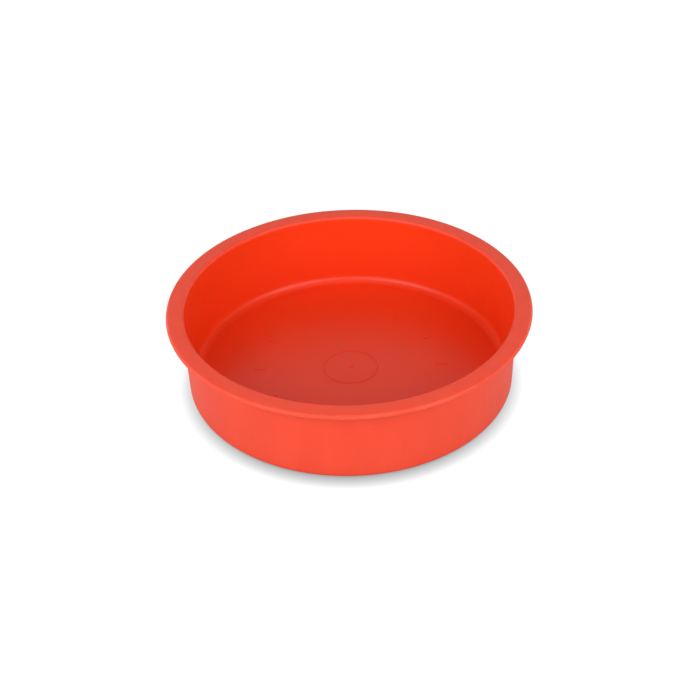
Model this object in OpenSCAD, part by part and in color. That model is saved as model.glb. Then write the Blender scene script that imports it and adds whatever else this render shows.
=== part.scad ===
// Round silicone cake pan with a flat, wire-stiffened flange rim.
// Millimetres, +Z up. The origin is the centre of the underside, on the surface it stands on.

/* [Pan] */
// Inside diameter at the mouth, across the flange's inner edge
mouth_d = 230; // [150:1:320]
// Height from the underside to the top of the flange
pan_h = 61; // [35:1:110]
// Lean of the wall outwards from vertical, in degrees
draft_angle = 1.1; // [0:0.1:5]
// Thickness of the wall
wall_t = 2.4; // [1.5:0.1:3.5]
// Thickness of the floor
floor_t = 2.8; // [1.5:0.1:5]
// Radius of the fillet between floor and wall, inside
inside_fillet_r = 6.2; // [1:0.1:10]
// Radius of the rounded corner between underside and wall, outside
base_corner_r = 3; // [1:0.1:5]

/* [Flange] */
// Width of the flange, from the mouth to its outer edge
flange_w = 12.5; // [10:0.5:20]
// Thickness of the flange
flange_t = 4; // [3.8:0.1:6]
// Rounding of the flange's outer edge, above and below
flange_edge_r = 1.8; // [0.4:0.1:1.9]
// Rounding of the mouth's edge
mouth_edge_r = 2.4; // [0.4:0.1:3]
// Radius of the fillet between the wall and the flange's underside
flange_root_r = 1.5; // [0.5:0.1:3]

/* [Floor relief] */
// Height of the raised lines on the floor
relief_h = 0.4; // [0.2:0.05:1]
// Width of the raised lines
relief_w = 1.4; // [0.8:0.1:3]
// Outer diameter of the centring ring
centre_ring_d = 40; // [16:1:70]
// Diameter of the centring dot
centre_dot_d = 4; // [2:0.5:8]
// Number of portions that the ticks mark out
portions = 12; // [2:1:24]
// Distance from the centre to where the ticks start
tick_start_r = 61; // [40:1:62]
// Length of a tick
tick_l = 10; // [4:1:12]

/* [Rim wire] */
// Diameter of the wire hoop moulded inside the flange
wire_d = 2; // [1.2:0.1:2.4]
// Number of pin marks under the flange, where the mould held the wire
pin_marks = 8; // [3:1:24]
// Diameter of a pin mark
pin_mark_d = 1.6; // [0.8:0.1:2.2]

/* [Hidden] */
$fn = 180;

// Overshoot of cutters past the faces they cut
eps = 1;

mouth_r = mouth_d / 2;
rim_r = mouth_r + flange_w;
flange_z = pan_h - flange_t;
wall_across = wall_t / cos(draft_angle);

// The wire lies midway between the wall's outside and the flange's edge, at mid-thickness
wire_ring_r = (outside_r(flange_z) + rim_r) / 2;
wire_z = pan_h - flange_t / 2;

// Radius of the wall's inside and outside faces at a height z
function inside_r(z) = mouth_r - (pan_h - z) * tan(draft_angle);
function outside_r(z) = inside_r(z) + wall_across;

function unit(v) = v / norm(v);

// The sliver between a corner b, whose sides run to a and c, and the arc of radius r that touches both
// sides. Added in a hollow corner it is a fillet, and taken from a solid corner it rounds it.
module corner_sliver(a, b, c, r) {
    along_a = unit(a - b);
    along_c = unit(c - b);
    half_angle = acos(along_a * along_c) / 2;
    reach = r / tan(half_angle);
    centre = b + unit(along_a + along_c) * r / sin(half_angle);
    difference() {
        polygon([b, b + along_a * reach, centre, b + along_c * reach]);
        translate(centre) circle(r);
    }
}

// Half section of the moulding filled in solid: wall, underside and flange
module outside_section() {
    axis_foot = [0, 0];
    base_corner = [outside_r(0), 0];
    flange_root = [outside_r(flange_z), flange_z];
    flange_low = [rim_r, flange_z];
    flange_high = [rim_r, pan_h];
    axis_top = [0, pan_h];
    difference() {
        polygon([axis_foot, base_corner, flange_root, flange_low, flange_high, axis_top]);
        corner_sliver(axis_foot, base_corner, flange_root, base_corner_r);
        corner_sliver(flange_root, flange_low, flange_high, flange_edge_r);
        corner_sliver(flange_low, flange_high, axis_top, flange_edge_r);
    }
    corner_sliver(base_corner, flange_root, flange_low, flange_root_r);
}

// Half section of the cake's space, from the floor to past the mouth
module cavity_section() {
    floor_centre = [0, floor_t];
    floor_corner = [inside_r(floor_t), floor_t];
    mouth_edge = [mouth_r, pan_h];
    flange_high = [rim_r, pan_h];
    difference() {
        polygon([floor_centre, floor_corner, mouth_edge, [mouth_r, pan_h + eps], [0, pan_h + eps]]);
        corner_sliver(floor_centre, floor_corner, mouth_edge, inside_fillet_r);
    }
    corner_sliver(floor_corner, mouth_edge, flange_high, mouth_edge_r);
}

// Raised centring ring and dot, and one tick for each portion, sunk a little into the floor
module floor_relief() {
    sunk = floor_t / 4;
    translate([0, 0, floor_t - sunk]) {
        difference() {
            cylinder(d = centre_ring_d, h = sunk + relief_h);
            translate([0, 0, -eps]) cylinder(d = centre_ring_d - 2 * relief_w, h = sunk + relief_h + 2 * eps);
        }
        cylinder(d = centre_dot_d, h = sunk + relief_h);
        for (i = [0 : portions - 1])
            rotate(i * 360 / portions)
                translate([tick_start_r, -relief_w / 2, 0])
                    cube([tick_l, relief_w, sunk + relief_h]);
    }
}

// A round hoop of the wire's size, which is both the wire and the channel it fills
module hoop() {
    translate([0, 0, wire_z])
        rotate_extrude() translate([wire_ring_r, 0]) circle(d = wire_d);
}

// Marks left by the mould's pins, open from the flange's underside up to the wire
module pin_mark_holes() {
    for (i = [0 : pin_marks - 1])
        rotate((i + 0.5) * 360 / pin_marks)
            translate([wire_ring_r, 0, flange_z - eps])
                cylinder(d = pin_mark_d, h = wire_z - flange_z + eps);
}

module pan_body() {
    color([0.90, 0.25, 0.17]) {
        difference() {
            rotate_extrude() difference() {
                outside_section();
                cavity_section();
            }
            hoop();
            pin_mark_holes();
        }
        floor_relief();
    }
}

module rim_ring() {
    color([0.72, 0.73, 0.75]) hoop();
}

pan_body();
rim_ring();
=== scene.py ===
import math

import bmesh
import bpy
from mathutils import Matrix, Vector, noise


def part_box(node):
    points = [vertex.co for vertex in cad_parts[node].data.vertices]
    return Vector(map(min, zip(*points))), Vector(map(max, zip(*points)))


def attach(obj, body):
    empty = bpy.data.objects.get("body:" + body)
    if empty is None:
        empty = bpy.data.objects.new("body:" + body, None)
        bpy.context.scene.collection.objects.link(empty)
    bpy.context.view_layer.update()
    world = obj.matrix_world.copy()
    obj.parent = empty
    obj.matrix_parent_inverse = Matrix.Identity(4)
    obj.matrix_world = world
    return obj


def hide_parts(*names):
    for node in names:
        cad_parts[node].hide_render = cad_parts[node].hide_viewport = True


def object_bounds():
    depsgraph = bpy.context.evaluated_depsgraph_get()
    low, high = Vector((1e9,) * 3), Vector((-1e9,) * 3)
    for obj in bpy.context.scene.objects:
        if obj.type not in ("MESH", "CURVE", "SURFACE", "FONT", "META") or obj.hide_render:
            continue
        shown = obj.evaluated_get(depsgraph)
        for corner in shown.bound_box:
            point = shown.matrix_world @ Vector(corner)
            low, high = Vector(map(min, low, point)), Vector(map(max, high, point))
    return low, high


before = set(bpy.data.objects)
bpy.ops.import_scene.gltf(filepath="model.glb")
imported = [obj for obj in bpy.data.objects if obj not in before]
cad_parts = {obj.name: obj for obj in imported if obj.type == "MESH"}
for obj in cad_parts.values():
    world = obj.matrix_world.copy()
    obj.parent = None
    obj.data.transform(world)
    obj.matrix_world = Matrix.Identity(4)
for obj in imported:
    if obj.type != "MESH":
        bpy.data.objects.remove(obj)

# Round silicone cake pan. Lengths are in metres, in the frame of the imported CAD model.
MM = 0.001
CAD_LOW, CAD_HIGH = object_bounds()

# ---------------------------------------------------------------- the pan's dimensions
RIM_R = CAD_HIGH.x                      # outer edge of the flange
HEIGHT = CAD_HIGH.z                     # top of the flange
FLANGE_W = 12.5 * MM
MOUTH_R = RIM_R - FLANGE_W
DRAFT = math.tan(math.radians(1.1))
WALL_T = 2.4 * MM
FLOOR_T = 2.8 * MM
FLANGE_T = 4.0 * MM
INSIDE_FILLET_R = 6.2 * MM
BASE_CORNER_R = 3.0 * MM
FLANGE_EDGE_R = 1.8 * MM
MOUTH_EDGE_R = 2.4 * MM
FLANGE_ROOT_R = 1.5 * MM
PARTING_H = 0.12 * MM                   # how far the mould's parting line stands out of the flange's edge
PARTING_HALF_W = 0.18 * MM
# The parting line's section: places up and out, as shares of its half width and height
PARTING_SECTION = [(1, 0), (0.35, 0.7), (0, 1), (-0.35, 0.7), (-1, 0)]

RELIEF_H = 0.4 * MM
RELIEF_W = 1.4 * MM
RELIEF_EDGE = 0.16 * MM                 # about the width of the soft shoulder on each side of a raised line
# The shoulder's section: places in and up, as shares of RELIEF_EDGE and RELIEF_H
RELIEF_SHOULDER = [(0, 0), (0.25, 0.25), (0.75, 0.88), (1.3, 1)]
CENTRE_RING_R = 20.0 * MM
CENTRE_DOT_R = 2.0 * MM
CENTRE_DOT_FLAT = 0.45                  # share of the dot's radius at which its first ring lies
PORTIONS = 12
TICK_START_R = 61.0 * MM
TICK_END_R = 71.0 * MM

PIN_MARKS = 8
PIN_MARK_R = 0.8 * MM
PIN_MARK_FLARE = 0.25 * MM              # rounding of a pin mark's mouth
CHANNEL_GAP = 0.02 * MM                 # keeps the channel's facets off the wire's
SHARP_ANGLE = math.radians(35)          # edges that turn by more than this shade as sharp

# ---------------------------------------------------------------- the casting's waviness
SLOW_WAVES = 14                         # waves in a metre
FINE_WAVES = 46
SLOW_WAVES_START = Vector((3.1, 7.7, 1.3))
FINE_WAVES_START = Vector((9.2, 0.4, 5.9))
STILL_BELOW_Z = 8 * MM                  # the wall is true below this, and pulled fully from FULL_PULL_Z up
FULL_PULL_Z = 28 * MM
FLANGE_PULL_R = 4 * MM                  # how far past the mouth's edge the flange is pulled fully
INWARD_PULL = 0.16 * MM                 # of the flange's edge
WALL_SHARE = 0.8                        # the wall's pull, as a share of the edge's
DOWNWARD_PULL = 0.14 * MM

# ---------------------------------------------------------------- the camera
LENS = 62.94                            # mm, like the sensor's width
SENSOR_W = 36
ELEVATION = math.radians(36.39)
ROLL = math.radians(-1.78)
DISTANCE = 0.8799
AIM = Vector((-0.0002, 0.0, 0.0178))

# ---------------------------------------------------------------- the mesh's fineness
FILLET_STEPS = 10                       # faces round the inside fillet, and round the base's corner
EDGE_STEPS = 8                          # faces round the mouth's edge and the flange's edges
ROOT_STEPS = 6
WALL_STEPS = 16
FLANGE_STEPS = 6
TUBE_FACETS = 20                        # faces round the section of the wire's channel
HOOP_SEGMENTS = 240                     # and along the channel
PIN_SEGMENTS = 24
SAME_HEIGHT = 1e-7                      # metres, within which two heights count as one
# The floor's and the underside's rings, in mm: radii, or distances out from the centring ring or a tick's end
RINGS_IN_CENTRE = [3.2, 6, 9, 12, 15, 17.5]
RINGS_TO_TICKS = [1, 3, 6, 9, 13, 17, 21, 25, 29, 33, 37, 39.5]
RINGS_AT_TICK_END = [-0.5, -0.16, 0, 0.16, 0.32, 0.6, 3, 5.5, 8]
RINGS_TO_WALL = [83, 87, 91, 95, 99, 102, 104.5, 106.5]
RINGS_UNDER_BASE = [108, 100, 90, 78, 66, 54, 42, 30, 18, 8]
# The fine columns' distances from a tick's middle line, in mm
FINE_OFFSETS = [0.42, 0.54, 0.62, 0.70, 0.78, 0.90, 1.30, 2.10, 3.30]
PLAIN_COLUMNS = 11                      # columns between a tick's fine ones and the sector's edge
FINE_FROM_R = 40 * MM                   # inside this the fine columns close up towards the centre
FINE_TO_R = 85 * MM                     # past this they spread out evenly again by EVEN_FROM_R
EVEN_FROM_R = 105 * MM


def smooth_step(x):
    x = min(1.0, max(0.0, x))
    return x * x * (3 - 2 * x)


def inside_r(z):
    """Radius of the wall's inside face at height z."""
    return MOUTH_R - (HEIGHT - z) * DRAFT


def outside_r(z):
    """Radius of the wall's outside face at height z."""
    return inside_r(z) + WALL_T * math.hypot(1, DRAFT)


# ---------------------------------------------------------------- section of the moulding
def line(a, b, steps):
    """Points after a up to b, evenly spaced."""
    return [a.lerp(b, i / steps) for i in range(1, steps + 1)]


def rounded(before, corner, after, radius, steps):
    """Points of the arc that rounds a corner between its two neighbours."""
    to_before = (before - corner).normalized()
    to_after = (after - corner).normalized()
    half_angle = to_before.angle(to_after) / 2
    reach = radius / math.tan(half_angle)
    centre = corner + (to_before + to_after).normalized() * (radius / math.sin(half_angle))
    start = corner + to_before * reach - centre
    end = corner + to_after * reach - centre
    turn = start.angle_signed(end)
    points = []
    for i in range(steps + 1):
        spin = Matrix.Rotation(-turn * i / steps, 2)
        points.append(centre + spin @ start)
    return points


def raised_line(r_in, r_out):
    """Section of a raised line on the floor, with soft shoulders inside its width."""
    rise = [Vector((inset * RELIEF_EDGE, FLOOR_T + share * RELIEF_H)) for inset, share in RELIEF_SHOULDER]
    outer_rise = [Vector((r_out - p.x, p.y)) for p in reversed(rise)]
    return [Vector((r_in + p.x, p.y)) for p in rise] + outer_rise


def floor_radii():
    """Radii of the floor's rings from the centring ring outwards, closer together at the ticks' ends."""
    radii = [CENTRE_RING_R + d * MM for d in RINGS_TO_TICKS]
    for end in (TICK_START_R, TICK_END_R):
        radii += [end + d * MM for d in RINGS_AT_TICK_END]
    radii += [r * MM for r in RINGS_TO_WALL]
    return sorted(radii)


def section():
    """The moulding's half section, from the floor's centre round to the underside's centre, as (r, z)."""
    floor_corner = Vector((inside_r(FLOOR_T), FLOOR_T))
    mouth = Vector((MOUTH_R, HEIGHT))
    edge_r = RIM_R - PARTING_H
    top_edge = Vector((edge_r, HEIGHT))
    low_edge = Vector((edge_r, HEIGHT - FLANGE_T))
    root = Vector((outside_r(HEIGHT - FLANGE_T), HEIGHT - FLANGE_T))
    base = Vector((outside_r(0), 0))
    floor_centre = Vector((0, FLOOR_T))
    base_centre = Vector((0, 0))

    dot_top = FLOOR_T + RELIEF_H
    points = [Vector((0, dot_top)), Vector((CENTRE_DOT_R * CENTRE_DOT_FLAT, dot_top))]
    points += raised_line(-CENTRE_DOT_R, CENTRE_DOT_R)[len(RELIEF_SHOULDER):]
    points += [Vector((r * MM, FLOOR_T)) for r in RINGS_IN_CENTRE]
    points += raised_line(CENTRE_RING_R - RELIEF_W, CENTRE_RING_R)
    points += [Vector((r, FLOOR_T)) for r in floor_radii()]

    fillet = rounded(floor_centre, floor_corner, mouth, INSIDE_FILLET_R, FILLET_STEPS)
    mouth_round = rounded(floor_corner, mouth, top_edge, MOUTH_EDGE_R, EDGE_STEPS)
    top_round = rounded(mouth, top_edge, low_edge, FLANGE_EDGE_R, EDGE_STEPS)
    low_round = rounded(top_edge, low_edge, root, FLANGE_EDGE_R, EDGE_STEPS)
    root_round = rounded(low_edge, root, base, FLANGE_ROOT_R, ROOT_STEPS)
    base_round = rounded(root, base, base_centre, BASE_CORNER_R, FILLET_STEPS)

    points += fillet
    points += line(fillet[-1], mouth_round[0], WALL_STEPS)[:-1]
    points += mouth_round
    points += line(mouth_round[-1], top_round[0], FLANGE_STEPS)[:-1]
    edge_mid = HEIGHT - FLANGE_T / 2
    points += top_round
    for up, out in PARTING_SECTION:
        points.append(Vector((edge_r + out * PARTING_H, edge_mid + up * PARTING_HALF_W)))
    points += low_round
    points += line(low_round[-1], root_round[0], FLANGE_STEPS)[:-1]
    points += root_round
    points += line(root_round[-1], base_round[0], WALL_STEPS)[:-1]
    points += base_round
    points += [Vector((r * MM, 0)) for r in RINGS_UNDER_BASE]
    points.append(base_centre)
    return points


# ---------------------------------------------------------------- the pan's mesh
def column_angles(r):
    """Angles of all columns at radius r. Near each tick the columns run parallel to it."""
    half_sector = math.pi / PORTIONS
    per_half = len(FINE_OFFSETS) + PLAIN_COLUMNS
    spread = smooth_step((r - FINE_TO_R) / (EVEN_FROM_R - FINE_TO_R))
    fine = [d * MM / max(r, FINE_FROM_R) for d in FINE_OFFSETS]
    rest = half_sector - fine[-1]
    packed = fine + [fine[-1] + rest * (i + 1) / PLAIN_COLUMNS for i in range(PLAIN_COLUMNS)]
    half = []
    for i, angle in enumerate(packed):
        even = half_sector * (i + 1) / per_half
        half.append(angle + (even - angle) * spread)
    sector = [-a for a in reversed(half[:-1])] + [0.0] + half
    return [a + k * 2 * half_sector for k in range(PORTIONS) for a in sector]


def tick_height(r, angle):
    """Height of the portion ticks above the floor at a place on it."""
    sector = 2 * math.pi / PORTIONS
    off = angle - round(angle / sector) * sector
    across = RELIEF_W / 2 - abs(r * math.sin(off))
    along = min(r - TICK_START_R, TICK_END_R - r)
    inset = min(across, along)
    return RELIEF_H * smooth_step(inset / RELIEF_EDGE)


def cast_waviness(point, r, z):
    """The small uneven pull of a silicone casting, as an inward and a downward shift."""
    slow = noise.noise(point * SLOW_WAVES + SLOW_WAVES_START)
    fine = noise.noise(point * FINE_WAVES + FINE_WAVES_START)
    pull = 0.5 + 0.5 * (0.75 * slow + 0.25 * fine)
    on_wall = smooth_step((z - STILL_BELOW_Z) / (FULL_PULL_Z - STILL_BELOW_Z))
    past_mouth = smooth_step((r - MOUTH_R) / FLANGE_PULL_R)
    near_top = smooth_step((z - HEIGHT + 2 * FLANGE_T) / (0.75 * FLANGE_T))
    on_flange = past_mouth * near_top
    inward = INWARD_PULL * pull * max(on_wall * WALL_SHARE, on_flange)
    down = DOWNWARD_PULL * pull * on_flange
    return inward, down


def place(r, z, angle, on_floor):
    """The mesh's point for the section's point (r, z), turned through an angle, with ticks and waviness."""
    if on_floor:
        z += tick_height(r, angle)
    point = Vector((r * math.cos(angle), r * math.sin(angle), z))
    inward, down = cast_waviness(point, r, z)
    return Vector(((r - inward) * math.cos(angle), (r - inward) * math.sin(angle), z - down))


def pan_mesh():
    """The moulding: the section turned about the pan's axis, closed at both ends."""
    mesh = bmesh.new()
    profile = section()
    first = mesh.verts.new((0, 0, profile[0].y))
    last = mesh.verts.new((0, 0, 0))
    rings = []
    for r, z in profile[1:-1]:
        on_floor = abs(z - FLOOR_T) < SAME_HEIGHT and r > CENTRE_RING_R
        ring = [mesh.verts.new(place(r, z, a, on_floor)) for a in column_angles(r)]
        rings.append(ring)
    columns = len(rings[0])
    for i in range(columns):
        j = (i + 1) % columns
        mesh.faces.new((first, rings[0][i], rings[0][j]))
        for low, high in zip(rings, rings[1:]):
            mesh.faces.new((low[i], high[i], high[j], low[j]))
        mesh.faces.new((rings[-1][i], last, rings[-1][j]))
    bmesh.ops.recalc_face_normals(mesh, faces=mesh.faces)
    return finish_mesh(mesh, "silicone_pan")


def finish_mesh(mesh, name):
    """Makes a smooth-shaded object of the mesh."""
    for face in mesh.faces:
        face.smooth = True
    data = bpy.data.meshes.new(name)
    mesh.to_mesh(data)
    mesh.free()
    piece = bpy.data.objects.new(name, data)
    bpy.context.scene.collection.objects.link(piece)
    return piece


# ---------------------------------------------------------------- the wire's channel and pin marks
def lathe(mesh, centre, section_points, segments, closed):
    """Turns (r, z) points about the vertical line through centre. A closed section makes a ring."""
    rings = []
    for r, z in section_points:
        turn = [2 * math.pi * i / segments for i in range(segments)]
        rings.append([mesh.verts.new(centre + Vector((r * math.cos(a), r * math.sin(a), z))) for a in turn])
    pairs = list(zip(rings, rings[1:]))
    if closed:
        pairs.append((rings[-1], rings[0]))
    for low, high in pairs:
        for i in range(segments):
            j = (i + 1) % segments
            mesh.faces.new((low[i], low[j], high[j], high[i]))
    if not closed:
        mesh.faces.new(rings[0])
        mesh.faces.new(rings[-1])


def cut(piece, cutter):
    """Takes the cutter's volume out of the piece."""
    modifier = piece.modifiers.new("cut", "BOOLEAN")
    modifier.operation = "DIFFERENCE"
    modifier.solver = "EXACT"
    modifier.object = cutter
    bpy.context.view_layer.update()
    evaluated = piece.evaluated_get(bpy.context.evaluated_depsgraph_get())
    result = bpy.data.meshes.new_from_object(evaluated)
    piece.modifiers.clear()
    spare = piece.data
    piece.data = result
    bpy.data.meshes.remove(spare)
    bpy.data.objects.remove(cutter)


def cut_wire_channel(piece):
    """The channel that the wire hoop fills, and the pin marks that open onto it from below."""
    low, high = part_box("rim_ring")
    wire_r = (high.z - low.z) / 2
    ring_r = high.x - wire_r
    wire_z = (high.z + low.z) / 2
    channel = bmesh.new()
    turns = [2 * math.pi * i / TUBE_FACETS for i in range(TUBE_FACETS)]
    tube_r = wire_r + CHANNEL_GAP
    tube = [(ring_r + tube_r * math.cos(a), tube_r * math.sin(a)) for a in turns]
    lathe(channel, Vector((0, 0, wire_z)), tube, HOOP_SEGMENTS, True)
    bmesh.ops.recalc_face_normals(channel, faces=channel.faces)
    cut(piece, finish_mesh(channel, "channel_cutter"))

    pins = bmesh.new()
    flange_z = HEIGHT - FLANGE_T
    flare = PIN_MARK_FLARE
    pin = [
        (PIN_MARK_R + 3 * flare, flange_z - 2 * flare),
        (PIN_MARK_R + flare, flange_z - flare * 0.2),
        (PIN_MARK_R + flare * 0.3, flange_z + flare * 0.3),
        (PIN_MARK_R, flange_z + flare),
        (PIN_MARK_R, wire_z),
    ]
    for i in range(PIN_MARKS):
        angle = 2 * math.pi * (i + 0.5) / PIN_MARKS
        centre = Vector((ring_r * math.cos(angle), ring_r * math.sin(angle), 0))
        lathe(pins, centre, pin, PIN_SEGMENTS, False)
    bmesh.ops.recalc_face_normals(pins, faces=pins.faces)
    cut(piece, finish_mesh(pins, "pin_cutter"))


def mark_sharp_edges(piece):
    """Shades the edges that turn by more than SHARP_ANGLE as sharp, and all else as smooth."""
    mesh = bmesh.new()
    mesh.from_mesh(piece.data)
    for edge in mesh.edges:
        if len(edge.link_faces) == 2:
            edge.smooth = edge.calc_face_angle(0) < SHARP_ANGLE
    for face in mesh.faces:
        face.smooth = True
    mesh.to_mesh(piece.data)
    mesh.free()


# ---------------------------------------------------------------- shader nodes
class Nodes:
    """A small helper that adds and links shader nodes."""

    def __init__(self, name):
        self.material = bpy.data.materials.new(name)
        self.material.use_nodes = True
        self.tree = self.material.node_tree
        self.shader = self.tree.nodes["Principled BSDF"]

    def add(self, kind, **settings):
        node = self.tree.nodes.new(kind)
        for key, value in settings.items():
            if key.startswith("in_"):
                node.inputs[key[3:].replace("_", " ")].default_value = value
            else:
                setattr(node, key, value)
        return node

    def link(self, out_socket, in_socket):
        self.tree.links.new(out_socket, in_socket)

    def place(self):
        return self.add("ShaderNodeTexCoord").outputs["Object"]

    def noise(self, scale, detail, coordinates, roughness=0.5):
        node = self.add("ShaderNodeTexNoise", in_Scale=scale, in_Detail=detail, in_Roughness=roughness)
        self.link(coordinates, node.inputs["Vector"])
        return node.outputs["Fac"]

    def remap(self, value, low, high, to_low, to_high):
        node = self.add("ShaderNodeMapRange")
        for name, number in zip(("From Min", "From Max", "To Min", "To Max"), (low, high, to_low, to_high)):
            node.inputs[name].default_value = number
        self.link(value, node.inputs["Value"])
        return node.outputs["Result"]

    def math(self, operation, a, b):
        node = self.add("ShaderNodeMath", operation=operation)
        for socket, value in zip(node.inputs, (a, b)):
            if isinstance(value, (int, float)):
                socket.default_value = value
            else:
                self.link(value, socket)
        return node.outputs["Value"]

    def mix(self, factor, a, b):
        node = self.add("ShaderNodeMix", data_type="RGBA")
        for socket, value in ((node.inputs[0], factor), (node.inputs[6], a), (node.inputs[7], b)):
            if isinstance(value, tuple):
                socket.default_value = (*value, 1)
            elif isinstance(value, (int, float)):
                socket.default_value = value
            else:
                self.link(value, socket)
        return node.outputs[2]

    def bump(self, height, distance, strength, under=None):
        node = self.add("ShaderNodeBump", in_Distance=distance, in_Strength=strength)
        self.link(height, node.inputs["Height"])
        if under is not None:
            self.link(under, node.inputs["Normal"])
        return node.outputs["Normal"]


# ---------------------------------------------------------------- materials
SILICONE = (0.83, 0.044, 0.0050)        # the glossier inside
SILICONE_DEEP = (0.81, 0.041, 0.0046)
SILICONE_PAINTED_SHEEN = (0.83, 0.061, 0.0215)   # the matt outside and flange, paler than the inside: a painted sheen, a pale haze of reflection laid into the colour
SILICONE_PAINTED_SHEEN_DEEP = (0.80, 0.055, 0.0185)
SILICONE_RUBBED = (0.84, 0.105, 0.0550)
DUST = (0.86, 0.42, 0.36)
INSIDE_ROUGHNESS = 0.37
OUTSIDE_ROUGHNESS = 0.50
SMEAR = 0.03                            # how far fingermarks move the roughness
RUBBED_BAND = 2.5 * MM                  # how far rubbing reaches in from the flange's edge
STREAK_STRETCH = 0.22                   # the streaks' noise has its height scaled by this, so it runs upwards
IOR = 1.43                              # of silicone
SUBSURFACE_WEIGHT = 0.12
SUBSURFACE_RADIUS = (1.0, 0.22, 0.10)   # red light goes furthest through the silicone
SUBSURFACE_SCALE = 1.6 * MM
# Scales are in noise cells over a metre. A span is the part of the noise that is spread over 0 to 1
NOISE_SPAN = (0.3, 0.7)
MOTTLE_SPAN = (0.35, 0.65)
STREAK_SPAN = (0.36, 0.64)
RUB_SPAN = (0.42, 0.62)
MOTTLE_SCALE = 9
SMEAR_SCALE = 22
RUB_SCALE = 60
STREAK_SCALE = 75
RIPPLE_SCALE = 130
RIPPLE_H = 0.4 * MM
RIPPLE_STRENGTH = 0.03
TURNING_SCALE = 420
TURNING_H = 0.02 * MM
TURNING_STRENGTH = 0.25
SATIN_SCALE = 800
SATIN_H = 0.05 * MM
SATIN_STRENGTH = 0.5
RUB_SHOWS = 0.45                        # how far the rubbed bands and the specks cover the silicone's colour
SPECK_SHOWS = 0.6
SPECK_CELL = 12 * MM                    # one place in each cell of this size may hold a dust speck
SPECK_R = 0.22 * MM
SPECK_CHANCE_SPAN = (0.7, 0.75)         # about a quarter of the cells hold one

STEEL_DARK = (0.50, 0.50, 0.51)
STEEL_LIGHT = (0.66, 0.66, 0.67)
STEEL_ROUGHNESS = (0.24, 0.42)
STEEL_TONE_SCALE = 180
STEEL_ROUGHNESS_SCALE = 700
STEEL_GRAIN_SCALE = 1500
STEEL_GRAIN_H = 0.05 * MM
STEEL_GRAIN_STRENGTH = 0.2

FLOOR_SEEN = 1.04                       # the open floor's brightness in the picture, where white is 1
FLOOR_LIGHT = 0.59                      # its brightness as it lights the pan
FLOOR_SHADE_REACH = 13 * MM             # how far the pan's shade reaches over the floor
FLOOR_SHADE_LEAN = 0.8                  # how much the light over the floor comes from the back
FLOOR_HIDDEN = 0.2                      # openness at which the floor is at its darkest
FLOOR_OPEN = 0.89                       # and the openness from which it is fully lit
FLOOR_SHADE = 0.39                      # its darkest, as a share of fully lit
FLOOR_HALF_W = 6.0


def radius_and_height(n, place):
    """Distance from the pan's axis, and height over its underside."""
    flat = n.add("ShaderNodeVectorMath", operation="MULTIPLY")
    n.link(place, flat.inputs[0])
    flat.inputs[1].default_value = (1, 1, 0)
    radius = n.add("ShaderNodeVectorMath", operation="LENGTH")
    n.link(flat.outputs["Vector"], radius.inputs[0])
    split = n.add("ShaderNodeSeparateXYZ")
    n.link(place, split.inputs["Vector"])
    return radius.outputs["Value"], split.outputs["Z"]


def outside_mask(n, radius, height):
    """1 on the wall's outside, the flange and the underside, 0 on the inside."""
    lean = n.math("MULTIPLY", n.math("SUBTRACT", height, HEIGHT), DRAFT)
    past_wall = n.math("SUBTRACT", radius, n.math("ADD", lean, MOUTH_R))
    outer = n.remap(past_wall, 0.4 * WALL_T, 0.6 * WALL_T, 0, 1)
    under = n.remap(height, 0.4 * FLOOR_T, 0.6 * FLOOR_T, 1, 0)
    top = n.remap(height, HEIGHT - 1.5 * MOUTH_EDGE_R, HEIGHT - 0.5 * MOUTH_EDGE_R, 0, 1)
    return n.math("MAXIMUM", n.math("MAXIMUM", outer, under), top)


def rubbed_mask(n, place, radius, height):
    """Uneven bands where handling has dulled the flange's edge and the base's corner."""
    edge = n.remap(radius, RIM_R - RUBBED_BAND, RIM_R, 0, 1)
    low = n.remap(height, 0, RUBBED_BAND, 1, 0)
    corner = n.math("MULTIPLY", low, n.remap(radius, outside_r(0) - 2 * RUBBED_BAND, outside_r(0), 0, 1))
    patches = n.remap(n.noise(RUB_SCALE, 5, place, 0.65), *RUB_SPAN, 0, 1)
    return n.math("MULTIPLY", n.math("MAXIMUM", edge, corner), patches)


def speck_mask(n, place):
    """A few specks of dust, each at the seed of a random cell."""
    cells = n.add("ShaderNodeTexVoronoi", in_Scale=1 / SPECK_CELL)
    n.link(place, cells.inputs["Vector"])
    chance = n.add("ShaderNodeSeparateColor")
    n.link(cells.outputs["Color"], chance.inputs["Color"])
    reach = SPECK_R / SPECK_CELL
    near = n.remap(cells.outputs["Distance"], 0.6 * reach, 1.4 * reach, 1, 0)
    return n.math("MULTIPLY", near, n.remap(chance.outputs["Red"], *SPECK_CHANCE_SPAN, 0, 1))


def turning_marks(n, radius):
    """Faint rings that a turned mould leaves, as uneven noise along the radius."""
    along = n.add("ShaderNodeCombineXYZ")
    n.link(radius, along.inputs["X"])
    return n.noise(TURNING_SCALE, 3, along.outputs["Vector"], 0.7)


def drawn_streaks(n, place):
    """Noise drawn out upwards, for the streaks on the outside that come from pulling the pan off its mould."""
    stretched = n.add("ShaderNodeVectorMath", operation="MULTIPLY")
    n.link(place, stretched.inputs[0])
    stretched.inputs[1].default_value = (1, 1, STREAK_STRETCH)
    return n.noise(STREAK_SCALE, 4, stretched.outputs["Vector"], 0.6)


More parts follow.
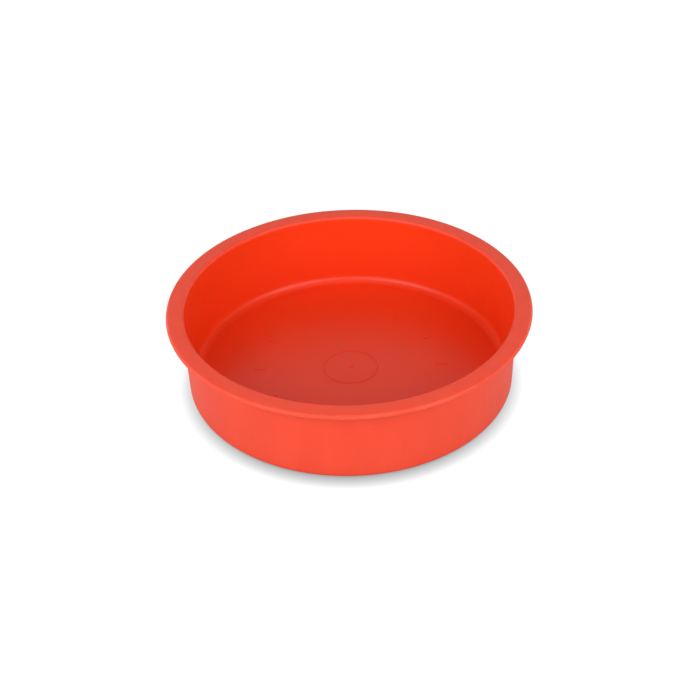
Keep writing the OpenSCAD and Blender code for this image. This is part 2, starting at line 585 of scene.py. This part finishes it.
def silicone_material():
    """Silicone: glossier inside, matt outside with a painted sheen in its paler colour, faintly translucent, a
    little dusty and rubbed.
    """
    n = Nodes("red_silicone")
    place = n.place()
    shader = n.shader
    radius, height = radius_and_height(n, place)
    outside = outside_mask(n, radius, height)
    rubbed = rubbed_mask(n, place, radius, height)
    rings = turning_marks(n, radius)

    mottle = n.remap(n.noise(MOTTLE_SCALE, 3, place), *MOTTLE_SPAN, 0, 1)
    inside_colour = n.mix(mottle, SILICONE_DEEP, SILICONE)
    streaks = n.remap(drawn_streaks(n, place), *STREAK_SPAN, 0, 1)
    # The outside's two paler colours carry a painted sheen, a pale haze of reflection laid into the colour
    outside_sheen_colour = n.mix(streaks, SILICONE_PAINTED_SHEEN_DEEP, SILICONE_PAINTED_SHEEN)
    colour = n.mix(outside, inside_colour, outside_sheen_colour)
    colour = n.mix(n.math("MULTIPLY", rubbed, RUB_SHOWS), colour, SILICONE_RUBBED)
    colour = n.mix(n.math("MULTIPLY", speck_mask(n, place), SPECK_SHOWS), colour, DUST)
    n.link(colour, shader.inputs["Base Color"])

    finish = n.remap(outside, 0, 1, INSIDE_ROUGHNESS, OUTSIDE_ROUGHNESS)
    smear = n.remap(n.noise(SMEAR_SCALE, 4, place), *NOISE_SPAN, -SMEAR, SMEAR)
    turned = n.remap(rings, *NOISE_SPAN, -0.5 * SMEAR, 0.5 * SMEAR)
    roughness = n.math("ADD", finish, n.math("ADD", smear, turned))
    n.link(roughness, shader.inputs["Roughness"])

    ripple = n.bump(n.noise(RIPPLE_SCALE, 2, place), RIPPLE_H, RIPPLE_STRENGTH)
    turned_relief = n.bump(rings, TURNING_H, TURNING_STRENGTH, ripple)
    satin_height = n.math("MULTIPLY", n.noise(SATIN_SCALE, 2, place), outside)
    n.link(n.bump(satin_height, SATIN_H, SATIN_STRENGTH, turned_relief), shader.inputs["Normal"])

    shader.inputs["IOR"].default_value = IOR
    shader.inputs["Subsurface Weight"].default_value = SUBSURFACE_WEIGHT
    shader.inputs["Subsurface Radius"].default_value = SUBSURFACE_RADIUS
    shader.inputs["Subsurface Scale"].default_value = SUBSURFACE_SCALE
    return n.material


def steel_material():
    """Drawn stainless wire, uneven in tone and grain."""
    n = Nodes("drawn_steel")
    place = n.place()
    patches = n.remap(n.noise(STEEL_TONE_SCALE, 3, place), *NOISE_SPAN, 0, 1)
    n.link(n.mix(patches, STEEL_DARK, STEEL_LIGHT), n.shader.inputs["Base Color"])
    wear = n.noise(STEEL_ROUGHNESS_SCALE, 2, place)
    n.link(n.remap(wear, *NOISE_SPAN, *STEEL_ROUGHNESS), n.shader.inputs["Roughness"])
    grain = n.noise(STEEL_GRAIN_SCALE, 2, place)
    n.link(n.bump(grain, STEEL_GRAIN_H, STEEL_GRAIN_STRENGTH), n.shader.inputs["Normal"])
    n.shader.inputs["Metallic"].default_value = 1.0
    return n.material


def floor_material():
    """A white floor that greys only close to the pan. It lights the pan less brightly than it looks."""
    n = Nodes("pale_floor")
    lean = n.add("ShaderNodeVectorMath", operation="NORMALIZE")
    lean.inputs[0].default_value = (0, FLOOR_SHADE_LEAN, 1)
    shade = n.add("ShaderNodeAmbientOcclusion", samples=16, in_Distance=FLOOR_SHADE_REACH)
    n.link(lean.outputs["Vector"], shade.inputs["Normal"])
    openness = shade.outputs["AO"]
    lit = n.remap(openness, FLOOR_HIDDEN, FLOOR_OPEN, FLOOR_SHADE, 1.0)
    seen = n.add("ShaderNodeLightPath").outputs["Is Camera Ray"]
    glow = n.add("ShaderNodeEmission")
    n.link(lit, glow.inputs["Color"])
    n.link(n.remap(seen, 0, 1, FLOOR_LIGHT, FLOOR_SEEN), glow.inputs["Strength"])
    n.link(glow.outputs["Emission"], n.tree.nodes["Material Output"].inputs["Surface"])
    return n.material


# ---------------------------------------------------------------- stage
def make_floor():
    mesh = bmesh.new()
    bmesh.ops.create_grid(mesh, x_segments=1, y_segments=1, size=FLOOR_HALF_W)
    floor = finish_mesh(mesh, "studio_floor")
    floor.data.materials.append(floor_material())


def make_camera():
    camera = bpy.data.objects.new("camera", bpy.data.cameras.new("camera"))
    camera.data.lens = LENS
    camera.data.sensor_width = SENSOR_W
    bpy.context.scene.collection.objects.link(camera)
    turn = Matrix.Rotation(math.pi / 2 - ELEVATION, 4, "X") @ Matrix.Rotation(ROLL, 4, "Z")
    away = Vector((0, -math.cos(ELEVATION), math.sin(ELEVATION)))
    camera.matrix_world = Matrix.Translation(AIM + away * DISTANCE) @ turn
    bpy.context.scene.camera = camera


def softbox(name, azimuth, elevation, distance, width, power):
    """A square soft light that faces the pan from a direction, where azimuth 0 is the camera's side.

    Angles are in degrees, lengths in metres and the power in watts.
    """
    data = bpy.data.lights.new(name, "AREA")
    data.shape = "SQUARE"
    data.size = width
    data.energy = power
    light = bpy.data.objects.new(name, data)
    bpy.context.scene.collection.objects.link(light)
    light.visible_camera = False
    azimuth, elevation = math.radians(azimuth), math.radians(elevation)
    level = math.cos(elevation)
    out = Vector((math.sin(azimuth) * level, -math.cos(azimuth) * level, math.sin(elevation)))
    target = Vector((0, 0, HEIGHT / 2))
    turn = (target - out * distance).to_track_quat("-Z", "Y").to_matrix().to_4x4()
    light.matrix_world = Matrix.Translation(out * distance) @ turn


def make_backdrop():
    """White all round in the picture, and dark for the pan, which the softboxes light."""
    world = bpy.data.worlds.new("studio")
    world.use_nodes = True
    tree = world.node_tree
    seen = tree.nodes.new("ShaderNodeLightPath").outputs["Is Camera Ray"]
    tree.nodes["Background"].inputs["Color"].default_value = (1, 1, 1, 1)
    tree.links.new(seen, tree.nodes["Background"].inputs["Strength"])
    bpy.context.scene.world = world


def make_lights():
    make_backdrop()
    softbox("key_left", -45, 30, 1.5, 1.1, 13.9)
    softbox("key_right", 45, 30, 1.5, 1.1, 13.4)
    softbox("front", 0, 25, 1.5, 1.0, 5.9)
    softbox("side_left", -90, 12, 1.5, 0.7, 5.4)
    softbox("side_right", 90, 12, 1.5, 0.7, 3.2)
    softbox("rim_left", -135, 14, 1.8, 0.8, 6.1)
    softbox("rim_right", 135, 14, 1.8, 0.8, 4.9)
    softbox("back_panel", 180, 36, 2.2, 2.0, 10.6)
    softbox("top", 0, 90, 1.8, 1.3, 4.2)


# ---------------------------------------------------------------- build
make_camera()
make_lights()
make_floor()

pan = pan_mesh()
cut_wire_channel(pan)
mark_sharp_edges(pan)
pan.data.materials.clear()
pan.data.materials.append(silicone_material())
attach(pan, "root")
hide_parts("pan_body")

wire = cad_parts["rim_ring"]
wire.data.materials.clear()
wire.data.materials.append(steel_material())

bpy.context.scene.view_settings.view_transform = "Standard"
